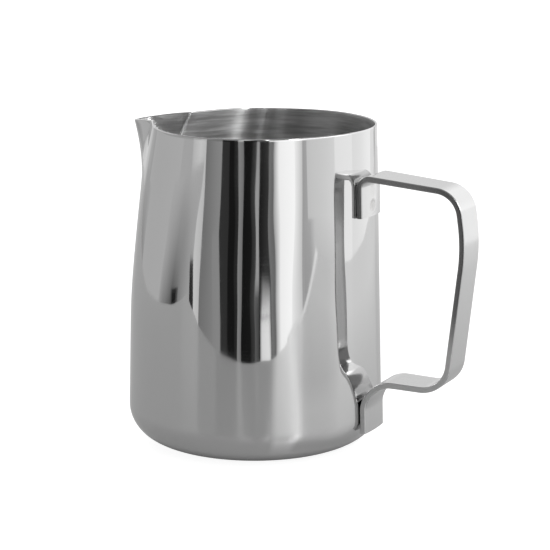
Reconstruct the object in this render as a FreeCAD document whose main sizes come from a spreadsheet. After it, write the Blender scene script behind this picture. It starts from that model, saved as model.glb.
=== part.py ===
import FreeCAD, Part
import Sketcher
import math
import os

# Milk frothing pitcher, about 600 ml: a deep-drawn steel cup with a pressed pouring spout, and
# a handle bent from flat strip that is resistance-welded to the cup at its two ends.
#
# Frame: millimetres, +Z up. The origin is the centre of the base, on the cup's own axis. The
# handle lies towards +X and the spout points towards -X. Angles "off the spout" turn about the
# axis, starting from the spout's direction.

V = FreeCAD.Vector

SIZES = (
    ("body_height", 111.4, "base to rim, away from the spout"),
    ("base_radius", 45.0, "outside radius of the cup just above its base corner"),
    ("mouth_radius", 42.4, "outside radius of the round part of the rim"),
    ("corner_radius", 11.5, "outside radius of the corner between base and wall"),
    ("wall", 0.8, "sheet thickness of the cup"),
    ("standing_ring", 5.5, "radial width of the flat ring that the cup stands on"),
    ("dish_slope", 3.0, "radial width of the step up to the raised middle"),
    ("dish_depth", 0.7, "height of the raised middle above the standing ring"),
    ("spout_start", 50.0, "height at which the pressing of the spout sets in"),
    ("spout_blend", 8.0, "softness of that start, as a height"),
    ("beak_reach", 15.6, "how far the beak is pressed out at the rim"),
    ("beak_angle", 15.0, "half angle of the beak at the rim, in degrees"),
    ("beak_rounding", 6.0, "rounding of the beak's ridge, in degrees"),
    ("beak_widening", 2.0, "width of the beak at its start, in widths at the rim"),
    ("beak_growth", 2.3, "power by which the beak grows with height"),
    ("pinch_depth", 9.2, "how far the wall beside the beak is drawn in at the rim"),
    ("pinch_angle", 112.0, "how far round from the spout the wall is drawn in, in degrees"),
    ("pinch_growth", 1.3, "power by which that draw grows with height"),
    ("lip_drop", 1.6, "how far the tip of the lip lies below the rim"),
    ("lip_angle", 12.0, "half angle over which the lip drops, in degrees"),
    ("flank_rise", 0.35, "how far the rim rises on the drawn-in flanks"),
    ("flank_angle", 45.0, "where off the spout that rise is highest, in degrees"),
    ("flank_width", 22.0, "half angle of that rise, in degrees"),
    ("strap_thickness", 2.0, "thickness of the handle strip"),
    ("strap_width", 15.9, "width of the flat strip before it is tapered"),
    ("grip_width", 13.4, "width that the taper leaves at the grip"),
    ("strap_edge", 0.5, "rounding of the strip's long edges"),
    ("weld_gap", 0.2, "gap between strip and wall, filled at the welds"),
    ("tab_drop", 29.1, "lower end of the upper tab, below the rim"),
    ("top_drop", 15.2, "start of the handle's top run, below the rim"),
    ("top_fall", 2.9, "fall of the top run to its outer end"),
    ("top_reach", 33.1, "outer end of the top run, beyond the base radius"),
    ("grip_reach", 35.8, "widest place of the grip, beyond the base radius"),
    ("grip_drop", 17.8, "widest place of the grip, below the end of the top run"),
    ("heel_reach", 30.3, "foot of the grip, beyond the base radius"),
    ("heel_height", 25.4, "foot of the grip, above the base"),
    ("foot_bend_height", 25.7, "where the strip turns down into the lower tab"),
    ("foot_bottom", 7.3, "lower end of the lower tab, above the base"),
    ("tab_bend", 3.0, "bend radius at the upper tab, at mid thickness"),
    ("shoulder_bend", 9.0, "bend radius at the outer end of the top run"),
    ("grip_bend", 60.0, "bend radius of the gentle bow in the grip"),
    ("heel_bend", 10.0, "bend radius at the foot of the grip"),
    ("foot_bend", 10.0, "bend radius above the lower tab"),
    ("nugget_radius", 2.1, "radius of each weld nugget"),
    ("nugget_spacing", 5.0, "distance between the two nuggets of a tab"),
    ("upper_nugget_drop", 23.0, "middle of the upper pair of nuggets, below the rim"),
    ("lower_nugget_height", 12.2, "middle of the lower pair of nuggets, above the base"),
)

BEAK_POWER = 1.5      # shape of the beak's flanks: 1 would be straight, 2 bell-shaped
COLUMNS = 72          # points round the cup in each row
CROWDING = 0.6        # how strongly the columns gather at the spout, 0 to 1
CORNER_ROWS = 9       # rows up the base corner
WALL_ROWS = 22        # rows up the wall
TURN_STEP = 0.01      # degrees either side of a point over which the outline's slope is taken
SAME_HEIGHT = 0.1     # mm within which an edge counts as lying at the strip's end


def make_sheet(doc):
    """The spreadsheet of driving sizes, one aliased cell each."""
    sheet = doc.addObject("Spreadsheet::Sheet", "sizes")
    for row, (alias, value, meaning) in enumerate(SIZES, start=1):
        sheet.set(f"A{row}", meaning)
        sheet.set(f"B{row}", str(value))
        sheet.setAlias(f"B{row}", alias)
    doc.recompute()
    return sheet


def bind(obj, links):
    """Bind each property of an object to an expression on the sheet's aliases."""
    for prop, expression in links.items():
        obj.setExpression(prop, expression)


def size(alias):
    """The text that names a cell of the sheet inside an expression."""
    return f"<<sizes>>.{alias}"


# --- the cup: one drawn and pressed sheet ---------------------------------------------------

def bump(angle, middle, width):
    """A smooth hump of height 1 at an angle off the spout, on both sides of it."""
    return math.exp(-((abs(angle) - middle) / width) ** 2)


def pressing(sheet, height):
    """How far the spout is formed at this height: nearly 0 below its start, 1 at the rim."""
    def ramp(rise):
        return (rise + math.hypot(rise, sheet.spout_blend)) / 2
    return ramp(height - sheet.spout_start) / ramp(sheet.body_height - sheet.spout_start)


def press_out(sheet, angle, height):
    """Radial move of the wall by the spout: the beak pressed out, less the flanks drawn in."""
    formed = pressing(sheet, height)
    half = sheet.beak_angle * (sheet.beak_widening + (1 - sheet.beak_widening) * formed)
    softened = math.hypot(angle, sheet.beak_rounding) ** BEAK_POWER
    off_ridge = (softened - sheet.beak_rounding ** BEAK_POWER) / half ** BEAK_POWER
    beak = sheet.beak_reach * formed ** sheet.beak_growth * math.exp(-off_ridge)
    flank = 0.0
    if abs(angle) < sheet.pinch_angle:
        flank = math.cos(math.radians(90 * angle / sheet.pinch_angle)) ** 2
    return beak - sheet.pinch_depth * formed ** sheet.pinch_growth * flank


def wall_slope(sheet):
    """Lean of the wall, in radians, on the line from the rim that touches the corner arc."""
    across = sheet.mouth_radius - (sheet.base_radius - sheet.corner_radius)
    up = sheet.body_height - sheet.corner_radius
    return math.atan2(up, across) - math.acos(sheet.corner_radius / math.hypot(across, up))


def wall_radius(sheet, height):
    """Outside radius of the plain wall at a height, before the spout is pressed."""
    return sheet.mouth_radius + (sheet.body_height - height) * math.tan(wall_slope(sheet))


def rim_height(sheet, angle):
    """Height of the rim at an angle off the spout."""
    drop = sheet.lip_drop * bump(angle, 0, sheet.lip_angle)
    return sheet.body_height - drop + sheet.flank_rise * bump(
        angle, sheet.flank_angle, sheet.flank_width)


def wall_point(sheet, angle, height, inset):
    """A point of the pressed wall, moved in by an inset square to its outline."""
    def radius(turn):
        return wall_radius(sheet, height) + press_out(sheet, turn, height)
    gain = radius(angle + TURN_STEP) - radius(angle - TURN_STEP)
    slope = gain / math.radians(2 * TURN_STEP)
    along = math.radians(angle)
    square = along - math.atan2(slope, radius(angle))
    move = inset / math.cos(wall_slope(sheet))
    across = radius(angle) * math.cos(along) - move * math.cos(square)
    aside = radius(angle) * math.sin(along) - move * math.sin(square)
    return V(-across, aside, height)


def column_angles():
    """Angles off the spout from the handle side right round, closer together at the spout."""
    turns = [2 * math.pi * column / COLUMNS - math.pi for column in range(COLUMNS + 1)]
    return [math.degrees(turn - CROWDING * math.sin(turn)) for turn in turns]


def cup_surface(sheet, inset):
    """The cup's outer side, or its inner side one inset in, from base ring to rim."""
    slope = wall_slope(sheet)
    bend = sheet.corner_radius - inset
    centre = sheet.base_radius - sheet.corner_radius
    rows = []
    for row in range(CORNER_ROWS):
        lift = -math.pi / 2 + (slope + math.pi / 2) * row / CORNER_ROWS
        radius = centre + bend * math.cos(lift)
        height = sheet.corner_radius + bend * math.sin(lift)
        rows.append([V(-radius * math.cos(math.radians(angle)),
                       radius * math.sin(math.radians(angle)), height)
                     for angle in column_angles()])
    start = sheet.corner_radius + bend * math.sin(slope)
    for row in range(WALL_ROWS + 1):
        share = row / WALL_ROWS
        rows.append([wall_point(sheet, angle, start + share * (rim_height(sheet, angle) - start),
                                inset)
                     for angle in column_angles()])
    surface = Part.BSplineSurface()
    surface.interpolate(rows)
    for row in range(1, surface.NbUPoles + 1):      # make the seam close exactly
        surface.setPole(row, surface.NbVPoles, surface.getPole(row, 1))
    return surface.toShape()


def border(face, at_top):
    """The closed lower or upper border edge of a cup surface."""
    rings = [edge for edge in face.Edges if edge.BoundBox.XLength > edge.BoundBox.ZLength]
    return max(rings, key=lambda edge: edge.BoundBox.ZMax if at_top else -edge.BoundBox.ZMax)


def drawn_cup(sheet):
    """The whole cup as one closed solid of even wall."""
    outer = cup_surface(sheet, 0.0)
    inner = cup_surface(sheet, sheet.wall)
    faces = [outer, inner, Part.makeRuledSurface(border(outer, True), border(inner, True))]
    faces += [Part.Face(Part.Wire([border(side, False)])) for side in (outer, inner)]
    shell = Part.makeShell(faces)
    shell.sewShape()
    cup = Part.makeSolid(shell)
    if cup.Volume < 0:
        cup.reverse()
    return cup


def make_cone(doc, name, bottom_radius, top_radius, foot):
    """A low cone as high as the base dish, its radii and foot bound to the sheet."""
    cone = doc.addObject("Part::Cone", name)
    bind(cone, {"Radius1": bottom_radius, "Radius2": top_radius,
                "Height": size("dish_depth"), "Placement.Base.z": foot})
    return cone


def make_body_shell(doc, sheet):
    """The drawn cup with the middle of its base pressed up, so that it stands on a ring."""
    cup = doc.addObject("Part::Feature", "drawn_cup")
    cup.Shape = drawn_cup(sheet)
    wide = f"{size('base_radius')} - {size('corner_radius')} - {size('standing_ring')}"
    narrow = f"{wide} - {size('dish_slope')}"
    rise = make_cone(doc, "floor_rise", wide, narrow, size("wall"))
    dish = make_cone(doc, "base_dish", wide, narrow, "0")
    raised = doc.addObject("Part::Fuse", "cup_with_raised_floor")
    raised.Base = cup
    raised.Tool = rise
    shell = doc.addObject("Part::Cut", "body_shell")
    shell.Base = raised
    shell.Tool = dish
    return shell


# --- the handle: one bent strip -------------------------------------------------------------

def wall_line(height):
    """Expression for the plain wall's radius at a height given as an expression."""
    rise = f"({size('body_height')} - ({height}))"
    span = f"({size('body_height')} - {size('corner_radius')})"
    widening = f"({size('base_radius')} - {size('mouth_radius')})"
    return f"{size('mouth_radius')} + {widening} * {rise} / {span}"


def handle_stations():
    """Corners of the strip's middle line, foot to tab: name, X, Z and bend radius."""
    off_wall = f"{size('weld_gap')} + {size('strap_thickness')} / 2"
    beyond = size("base_radius") + " + "
    foot = size("foot_bottom")
    foot_bend = size("foot_bend_height")
    top = f"{size('body_height')} - {size('top_drop')}"
    tab = f"{size('body_height')} - {size('tab_drop')}"
    shoulder = f"{top} - {size('top_fall')}"
    return (
        ("foot_end", f"{wall_line(foot)} + {off_wall}", foot, None),
        ("foot_corner", f"{wall_line(foot_bend)} + {off_wall}", foot_bend, "foot_bend"),
        ("heel_corner", beyond + size("heel_reach"), size("heel_height"), "heel_bend"),
        ("grip_corner", beyond + size("grip_reach"), f"{shoulder} - {size('grip_drop')}",
         "grip_bend"),
        ("shoulder_corner", beyond + size("top_reach"), shoulder, "shoulder_bend"),
        ("tab_corner", f"{wall_line(top)} + {off_wall}", top, "tab_bend"),
        ("tab_end", f"{wall_line(tab)} + {off_wall}", tab, None),
    )


def make_stations(doc):
    """A datum vertex for each corner of the strip's middle line, bound to the sheet."""
    stations = []
    for name, across, up, bend in handle_stations():
        vertex = doc.addObject("Part::Vertex", name)
        bind(vertex, {"X": across, "Z": up})
        stations.append((vertex, bend))
    doc.recompute()
    return stations


def origin_plane(body, role):
    """One of a body's own origin planes."""
    return next(part for part in body.Origin.OriginFeatures if part.Role == role)


def new_sketch(body, name, role):
    """An empty sketch of a body on one of its origin planes."""
    sketch = body.newObject("Sketcher::SketchObject", name)
    sketch.AttachmentSupport = [(origin_plane(body, role), "")]
    sketch.MapMode = "FlatFace"
    return sketch


def constrain(sketch, kind, *where):
    """Add a constraint to a sketch and return its number."""
    return sketch.addConstraint(Sketcher.Constraint(kind, *where))


def dimension(sketch, kind, *where, drawn, bound_to):
    """Add a dimension to a sketch, at the value it is drawn with, and bind it."""
    number = constrain(sketch, kind, *where, drawn)
    sketch.setExpression(f"Constraints[{number}]", bound_to)


def place_point(sketch, geometry, end, spot, across, up):
    """Bind the place of a point drawn at a spot to two expressions."""
    dimension(sketch, "DistanceX", -1, 1, geometry, end, drawn=spot.x, bound_to=across)
    dimension(sketch, "DistanceY", -1, 1, geometry, end, drawn=spot.y, bound_to=up)


def add_outline(sketch, corners):
    """A closed outline of straight lines, each corner given as two expressions."""
    first = sketch.GeometryCount
    count = len(corners)
    spots = [V(math.cos(2 * math.pi * n / count), math.sin(2 * math.pi * n / count))
             for n in range(count)]
    for number in range(count):
        following = (number + 1) % count
        sketch.addGeometry(Part.LineSegment(spots[number], spots[following]), False)
    for number, (across, up) in enumerate(corners):
        following = (number + 1) % count
        constrain(sketch, "Coincident", first + number, 2, first + following, 1)
        place_point(sketch, first + number, 1, spots[number], across, up)


def rounded_corner(before, corner, after, radius):
    """The arc of a radius that rounds a corner: centre, first and last point, left turn or not."""
    arrive = (corner - before).normalize()
    leave = (after - corner).normalize()
    turn = math.atan2(arrive.x * leave.y - arrive.y * leave.x, arrive.dot(leave))
    setback = radius * math.tan(abs(turn) / 2)
    first = corner - arrive * setback
    last = corner + leave * setback
    side = math.copysign(radius, turn)
    return first + V(-arrive.y, arrive.x) * side, first, last, turn > 0


def add_path(sketch, stations, sheet):
    """Straight runs and tangent arcs through the stations, corners and radii bound to them."""
    spots = [V(vertex.X.Value, vertex.Z.Value) for vertex, bend in stations]
    arcs = [rounded_corner(spots[n - 1], spots[n], spots[n + 1], getattr(sheet, stations[n][1]))
            for n in range(1, len(spots) - 1)]
    starts = [spots[0]] + [last for centre, first, last, left in arcs]
    ends = [first for centre, first, last, left in arcs] + [spots[-1]]
    runs = [sketch.addGeometry(Part.LineSegment(start, end), False)
            for start, end in zip(starts, ends)]
    for number, (centre, first, last, left) in enumerate(arcs):
        vertex, bend = stations[number + 1]
        low, high = (first, last) if left else (last, first)
        angles = [math.atan2(spot.y - centre.y, spot.x - centre.x) for spot in (low, high)]
        circle = Part.Circle(centre, V(0, 0, 1), getattr(sheet, bend))
        arc = sketch.addGeometry(Part.ArcOfCircle(circle, *angles), False)
        entry, leaving = (1, 2) if left else (2, 1)
        constrain(sketch, "Tangent", runs[number], 2, arc, entry)
        constrain(sketch, "Tangent", arc, leaving, runs[number + 1], 1)
        dimension(sketch, "Radius", arc, drawn=circle.Radius, bound_to=size(bend))
        corner = sketch.addGeometry(Part.Point(spots[number + 1]), True)
        constrain(sketch, "PointOnObject", corner, 1, runs[number])
        constrain(sketch, "PointOnObject", corner, 1, runs[number + 1])
        place_point(sketch, corner, 1, spots[number + 1], f"{vertex.Name}.X", f"{vertex.Name}.Z")
    for run, end, which in ((runs[0], 1, 0), (runs[-1], 2, -1)):
        name = stations[which][0].Name
        place_point(sketch, run, end, spots[which], f"{name}.X", f"{name}.Z")


def long_edges(shape, stations):
    """Names of the strip's edges along its two sides, without those of its two ends."""
    ends = [stations[0][0].Z.Value, stations[-1][0].Z.Value]
    names = []
    for number, edge in enumerate(shape.Edges, start=1):
        middle = edge.BoundBox.Center
        across = edge.BoundBox.YLength > edge.Length / 2
        at_end = any(abs(middle.z - height) < SAME_HEIGHT for height in ends)
        if not across and not at_end:
            names.append(f"Edge{number}")
    return names


def make_handle_strap(doc, sheet):
    """The handle: flat strip swept along its bent path, narrowed to the grip, edges rounded."""
    stations = make_stations(doc)
    body = doc.addObject("PartDesign::Body", "handle_strap")
    path = new_sketch(body, "strap_path", "XZ_Plane")
    add_path(path, stations, sheet)

    section = new_sketch(body, "strap_section", "XY_Plane")
    bind(section, {"AttachmentOffset.Base.z": "foot_end.Z"})
    near = f"{wall_line(size('foot_bottom'))} + {size('weld_gap')}"
    far = f"{near} + {size('strap_thickness')}"
    half = f"{size('strap_width')} / 2"
    add_outline(section, ((near, f"-{half}"), (far, f"-{half}"), (far, half), (near, half)))
    doc.recompute()

    strip = body.newObject("PartDesign::AdditivePipe", "bent_strip")
    strip.Profile = section
    strip.Spine = (path, [f"Edge{n + 1}" for n in range(len(path.Shape.Edges))])
    doc.recompute()

    taper = new_sketch(body, "grip_taper", "XY_Plane")
    wide = f"{size('base_radius')} - {size('corner_radius')}"
    narrow = f"{size('base_radius')} + {size('grip_reach')} + {size('strap_thickness')}"
    slim = f"{size('grip_width')} / 2"
    full = f"{size('strap_width')} / 2"
    for side in ("", "-"):
        add_outline(taper, ((wide, side + full), (narrow, side + slim), (narrow, side + full)))
    doc.recompute()
    narrowing = body.newObject("PartDesign::Pocket", "narrowing")
    narrowing.Profile = taper
    narrowing.Type = "ThroughAll"
    narrowing.SideType = "Symmetric"
    doc.recompute()

    softened = body.newObject("PartDesign::Fillet", "softened_edges")
    softened.Base = (narrowing, long_edges(narrowing.Shape, stations))
    bind(softened, {"Radius": size("strap_edge")})
    doc.recompute()
    print("strip", round(strip.Shape.Volume), "narrowed", round(narrowing.Shape.Volume),
          "softened", round(softened.Shape.Volume), "mm3")
    print("path fully constrained", path.FullyConstrained, "length", round(path.Shape.Length, 1))
    return body


# --- the welds: nuggets of melted steel in the gap between strip and wall -------------------

def make_welds(doc, name, middle, shell, strap):
    """A pair of weld nuggets, one above the other, that fill the gap around a given height."""
    nuggets = []
    for place, sign in (("low", "-"), ("high", "+")):
        nugget = doc.addObject("Part::Cylinder", f"{name}_{place}_nugget")
        height = f"{middle} {sign} {size('nugget_spacing')} / 2"
        nugget.Placement.Rotation = FreeCAD.Rotation(V(0, 1, 0), 90)
        bind(nugget, {
            "Radius": size("nugget_radius"),
            "Height": f"({size('wall')} + {size('strap_thickness')}) / 2 + {size('weld_gap')}",
            "Placement.Base.x": f"{wall_line(height)} - {size('wall')} / 2",
            "Placement.Base.z": height})
        nuggets.append(nugget)
    pair = doc.addObject("Part::Fuse", f"{name}_pair")
    pair.Base, pair.Tool = nuggets
    outside = doc.addObject("Part::Cut", f"{name}_outside_wall")
    outside.Base = pair
    outside.Tool = shell
    welds = doc.addObject("Part::Cut", name)
    welds.Base = outside
    welds.Tool = strap
    return welds


def check_and_write(doc, pieces):
    """Stop on any failed object or bad shape, then write each piece to its STEP file."""
    for obj in doc.Objects:
        if "Invalid" in obj.State or "Error" in obj.State:
            raise RuntimeError(f"{obj.Name} failed: {obj.State}")
    for piece in pieces:
        if piece.Shape.isNull() or not piece.Shape.isValid():
            raise RuntimeError(f"{piece.Label} has no valid shape")
    os.makedirs("parts", exist_ok=True)
    for piece in pieces:
        box = piece.Shape.BoundBox
        piece.Shape.exportStep(f"parts/{piece.Label}.step")
        print(piece.Label, len(piece.Shape.Solids), "solid(s)", round(piece.Shape.Volume, 1),
              "mm3, from", [round(low, 2) for low in (box.XMin, box.YMin, box.ZMin)],
              "to", [round(high, 2) for high in (box.XMax, box.YMax, box.ZMax)])


def main():
    """Build the pitcher and write its pieces."""
    doc = FreeCAD.newDocument("milk_frothing_pitcher")
    sheet = make_sheet(doc)
    shell = make_body_shell(doc, sheet)
    strap = make_handle_strap(doc, sheet)
    upper = make_welds(doc, "upper_welds", f"{size('body_height')} - {size('upper_nugget_drop')}",
                       shell, strap)
    lower = make_welds(doc, "foot_welds", size("lower_nugget_height"), shell, strap)
    doc.recompute()
    check_and_write(doc, [shell, strap, upper, lower])


main()
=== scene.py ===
# %% [markdown]
# # A milk frothing pitcher in polished steel
#
# The real jug is two pieces of stainless steel. The cup is one sheet, drawn deep over a punch
# and then pressed out into a pouring beak. The handle is a flat strip, bent at five places and
# spot-welded to the cup at both ends. This lesson builds each of them as a surface worked out
# with numpy, gives them polished, brushed and sheared finishes, and lights them in a small
# studio, because polished steel looks like whatever stands around it.

# %% Load the measured frame
import math

import bpy
import numpy as np
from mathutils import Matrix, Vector


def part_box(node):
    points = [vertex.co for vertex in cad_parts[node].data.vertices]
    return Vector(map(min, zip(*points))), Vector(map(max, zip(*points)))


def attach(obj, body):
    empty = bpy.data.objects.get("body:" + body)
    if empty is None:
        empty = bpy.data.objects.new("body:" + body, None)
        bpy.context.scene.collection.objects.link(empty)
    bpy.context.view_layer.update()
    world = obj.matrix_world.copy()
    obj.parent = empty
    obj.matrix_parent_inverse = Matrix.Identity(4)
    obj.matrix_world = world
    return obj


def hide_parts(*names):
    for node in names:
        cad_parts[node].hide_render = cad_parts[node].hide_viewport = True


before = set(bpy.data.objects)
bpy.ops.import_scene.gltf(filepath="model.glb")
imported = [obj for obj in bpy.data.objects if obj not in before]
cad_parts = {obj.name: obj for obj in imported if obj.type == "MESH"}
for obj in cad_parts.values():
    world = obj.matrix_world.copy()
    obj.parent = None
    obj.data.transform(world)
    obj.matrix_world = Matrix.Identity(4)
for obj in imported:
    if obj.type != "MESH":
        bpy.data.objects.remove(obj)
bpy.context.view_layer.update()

BODY = "root"
MM = 0.001

# %% [markdown]
# ## Where the eye stands
#
# The jug is seen from a little above its rim, with the handle towards the right and turned
# about a third of a right angle towards the viewer. A camera could be tied to an empty as a
# target. Here its place comes from three plain numbers instead, the turn, the distance and the
# height, and its direction from two small angles, so that nothing in the scene moves with it.

# %% Place the camera
VIEW_TURN = math.radians(28.2)       # how far the handle is turned towards the viewer
VIEW_DISTANCE = 0.6158               # from the jug's axis, along the table
VIEW_HEIGHT = 0.1936                 # above the table
LOOK_DOWN = math.radians(12.5)
LOOK_ASIDE = math.radians(0.65)      # a little to the right of the axis
SENSOR_WIDTH = 36.0
LENS = 116.8

towards_viewer = np.array([math.sin(VIEW_TURN), -math.cos(VIEW_TURN), 0.0])
viewer_right = np.array([math.cos(VIEW_TURN), math.sin(VIEW_TURN), 0.0])


def add_camera():
    """A camera at the viewer's place, level, looking a little down and aside."""
    data = bpy.data.cameras.new("viewer")
    data.lens = LENS
    data.sensor_width = SENSOR_WIDTH
    camera = bpy.data.objects.new("viewer", data)
    bpy.context.scene.collection.objects.link(camera)
    camera.location = VIEW_DISTANCE * towards_viewer + np.array([0.0, 0.0, VIEW_HEIGHT])
    level = math.cos(LOOK_ASIDE) * -towards_viewer + math.sin(LOOK_ASIDE) * viewer_right
    gaze = math.cos(LOOK_DOWN) * level - math.sin(LOOK_DOWN) * np.array([0.0, 0.0, 1.0])
    camera.rotation_euler = Vector(gaze).to_track_quat("-Z", "Y").to_euler()
    return camera


bpy.context.scene.camera = add_camera()
bpy.context.scene.view_settings.view_transform = "Standard"
print("camera at", [round(place, 3) for place in bpy.context.scene.camera.location])

# %% [markdown]
# ## From a grid of points to a mesh
#
# Every piece here is a stack of closed rings: round the cup, or round the section of the strip.
# Such a stack can be made with Spin or Screw, but the beak is not round and the strip tapers,
# so the rings are computed as one numpy array. Neighbouring rings are joined by four-sided
# faces, and each end of the stack is closed by a fan of triangles to one middle point.

# %% Faces for a stack of rings


def ring_faces(rings, columns):
    """Quads between neighbours in a stack of rings that each close on themselves."""
    row, column = np.meshgrid(np.arange(rings - 1), np.arange(columns), indexing="ij")
    following = (column + 1) % columns
    corners = [row * columns + column, row * columns + following,
               (row + 1) * columns + following, (row + 1) * columns + column]
    return np.stack(corners, axis=-1).reshape(-1, 4)


def fan_faces(first, columns, middle):
    """Triangles from one ring, whose numbers start at first, to a middle point."""
    column = np.arange(columns)
    following = (column + 1) % columns
    return np.stack([first + following, first + column, np.full(columns, middle)], axis=-1)


def enclosed_volume(points, faces):
    """Six times the volume is the sum of the triple products of the triangles' corners."""
    a, b, c = (points[faces[:, number]] for number in range(3))
    return float(np.einsum("ij,ij->", a, np.cross(b, c))) / 6


print("three rings of four points are joined by", len(ring_faces(3, 4)), "faces")

# %% [markdown]
# A mesh has no inside until its faces say so. The stack's volume is summed up from its faces,
# and where it comes out negative every face is turned round. Edges that turn sharply stay
# sharp, and all others are shaded smooth.

# %% Make a closed mesh
SHARP_EDGE = math.radians(40)


def link_mesh(name, points, faces):
    """A smooth mesh object at the origin from an array of points and blocks of faces."""
    mesh = bpy.data.meshes.new(name)
    mesh.from_pydata(points.tolist(), [], [face for block in faces for face in block.tolist()])
    mesh.polygons.foreach_set("use_smooth", np.ones(len(mesh.polygons), bool))
    mesh.update()
    piece = bpy.data.objects.new(name, mesh)
    bpy.context.scene.collection.objects.link(piece)
    return piece


def closed_stack(name, rings, first_middle, last_middle):
    """A closed piece from rings (ring, column, xyz) and the middle points of its two ends."""
    count, columns = rings.shape[:2]
    points = np.concatenate([rings.reshape(-1, 3), [first_middle, last_middle]])
    sides = ring_faces(count, columns)
    start = fan_faces(0, columns, count * columns)
    end = fan_faces((count - 1) * columns, columns, count * columns + 1)[:, ::-1]
    split = np.concatenate([sides[:, [0, 1, 2]], sides[:, [0, 2, 3]], start, end])
    if enclosed_volume(points, split) < 0:
        sides, start, end = sides[:, ::-1], start[:, ::-1], end[:, ::-1]
    piece = link_mesh(name, points, [sides, start, end])
    piece.data.set_sharp_from_angle(angle=SHARP_EDGE)
    print(name, "has", len(piece.data.polygons), "faces")
    return piece


# %% [markdown]
# ## The cup
#
# A drawn cup starts as a disc. The punch gives it a straight, slightly tapered wall and a
# rounded base corner, and the middle of the base is pushed up so that the cup stands on a ring.
# The wall is a straight line that touches the corner's arc, so its lean follows from the sizes.

# %% The cup's sizes
HEIGHT = 111.4 * MM
BASE_RADIUS = 45.0 * MM
MOUTH_RADIUS = 42.4 * MM
CORNER_RADIUS = 11.5 * MM
CORNER_CENTRE = BASE_RADIUS - CORNER_RADIUS
WALL = 0.8 * MM

across, upright = MOUTH_RADIUS - CORNER_CENTRE, HEIGHT - CORNER_RADIUS
LEAN = math.atan2(upright, across) - math.acos(CORNER_RADIUS / math.hypot(across, upright))
print("wall leans", round(math.degrees(LEAN), 2), "degrees")

# %% [markdown]
# The beak comes last: a wedge presses the wall out in a narrow ridge while a die holds the wall
# on both sides of it, which draws those flanks in. It could be sculpted or made with a lattice.
# A formula is better here, because a mirror shows every bump: the wall's radius is the plain
# taper, plus a peak for the beak, less a wide smooth hollow for the flanks, and both grow with
# height. A narrow groove at each foot of the peak, which is a ridge on the inside, is the crease
# that the wedge's shoulder leaves.

# %% The wall's formula
SPOUT_START = 50 * MM
SPOUT_BLEND = 8 * MM
BEAK_REACH = 15.6 * MM
BEAK_ANGLE = 15.0              # angles off the spout are in degrees
BEAK_ROUNDING = 6.0
BEAK_WIDENING = 2.0
BEAK_GROWTH = 2.3
BEAK_POWER = 1.5
PINCH_DEPTH = 9.2 * MM
PINCH_ANGLE = 112.0
PINCH_GROWTH = 1.3
CREASE_DEPTH = 0.75 * MM
CREASE_GROWTH = 6
CREASE_WIDTH = 2.2
CREASE_ANGLE = 17.0            # far below the rim
CREASE_SPREAD = 5.2            # what the angle gains up to the rim
CREASE_SPREAD_GROWTH = 8


def ramp(rise):
    """A soft ramp: 0 far below, then rising one for one; a hyperbola joins the two."""
    return (rise + np.hypot(rise, SPOUT_BLEND)) / 2


def wall_radius(angle, height):
    """Plain taper, plus the beak's peak, less the flanks' hollow and the crease."""
    formed = ramp(height - SPOUT_START) / ramp(HEIGHT - SPOUT_START)
    half = BEAK_ANGLE * (BEAK_WIDENING + (1 - BEAK_WIDENING) * formed)
    ridge = np.hypot(angle, BEAK_ROUNDING) ** BEAK_POWER - BEAK_ROUNDING ** BEAK_POWER
    beak = BEAK_REACH * formed ** BEAK_GROWTH * np.exp(-ridge / half ** BEAK_POWER)
    turn = np.radians(90 * np.clip(angle / PINCH_ANGLE, -1, 1))
    flanks = PINCH_DEPTH * formed ** PINCH_GROWTH * np.cos(turn) ** 2
    bend = CREASE_ANGLE + CREASE_SPREAD * formed ** CREASE_SPREAD_GROWTH
    off = (np.abs(angle) - bend) / CREASE_WIDTH
    crease = CREASE_DEPTH * formed ** CREASE_GROWTH / np.cosh(off)
    return MOUTH_RADIUS + (HEIGHT - height) * math.tan(LEAN) + beak - flanks - crease


print("at the rim the wall is", np.round(wall_radius(np.array([0, 45, 180]), HEIGHT) / MM, 1),
      "mm from the axis at the lip, at the flank and behind")

# %% [markdown]
# The sheet's other side runs at the same distance everywhere, so it is found by a step square
# to the outline, which is not towards the axis where the wall swings out into the beak.

# %% The rim's height and the sheet's two sides
LIP_DROP, LIP_WIDTH = 1.6 * MM, 12
FLANK_RISE, FLANK_ANGLE, FLANK_WIDTH = 0.35 * MM, 45, 22
SMALL_TURN = 0.01              # for the slope of the outline, taken to both sides


def rim_height(angle):
    """The rim is level, but lower at the tip of the lip and a touch higher on the flanks."""
    def hump(middle, width):
        return np.exp(-((np.abs(angle) - middle) / width) ** 2)
    return HEIGHT - LIP_DROP * hump(0, LIP_WIDTH) + FLANK_RISE * hump(FLANK_ANGLE, FLANK_WIDTH)


def wall_points(angle, height, inset):
    """Points of the wall, moved in by an inset square to its outline at that height."""
    gain = wall_radius(angle + SMALL_TURN, height) - wall_radius(angle - SMALL_TURN, height)
    radius = wall_radius(angle, height)
    along = np.radians(angle)
    square = along - np.arctan2(gain / math.radians(2 * SMALL_TURN), radius)
    x = -radius * np.cos(along) + inset * np.cos(square)
    y = radius * np.sin(along) - inset * np.sin(square)
    return np.stack(np.broadcast_arrays(x, y, height), axis=-1)


print("rim is", np.round(rim_height(np.array([0, 45, 180])) / MM, 2),
      "mm high at the lip, at the flank and behind")

# %% [markdown]
# The section of the cup is walked once, from the middle of the underside, out over the standing
# ring, up the outside, over the rounded rim, down the inside and in to the middle of the floor.
# Each step of that walk is one ring, and each of the next functions gives the rings of one
# stretch.

# %% Rings of the base
CORNER_RINGS = 18
DISH_RISE = 0.7 * MM
DISH_INNER, DISH_OUTER = 25.0 * MM, 28.0 * MM
FLAT_RADII = np.concatenate([np.linspace(4 * MM, 24 * MM, 6), np.linspace(DISH_INNER, DISH_OUTER, 9),
                             [30 * MM, 32 * MM, CORNER_CENTRE]])


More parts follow.
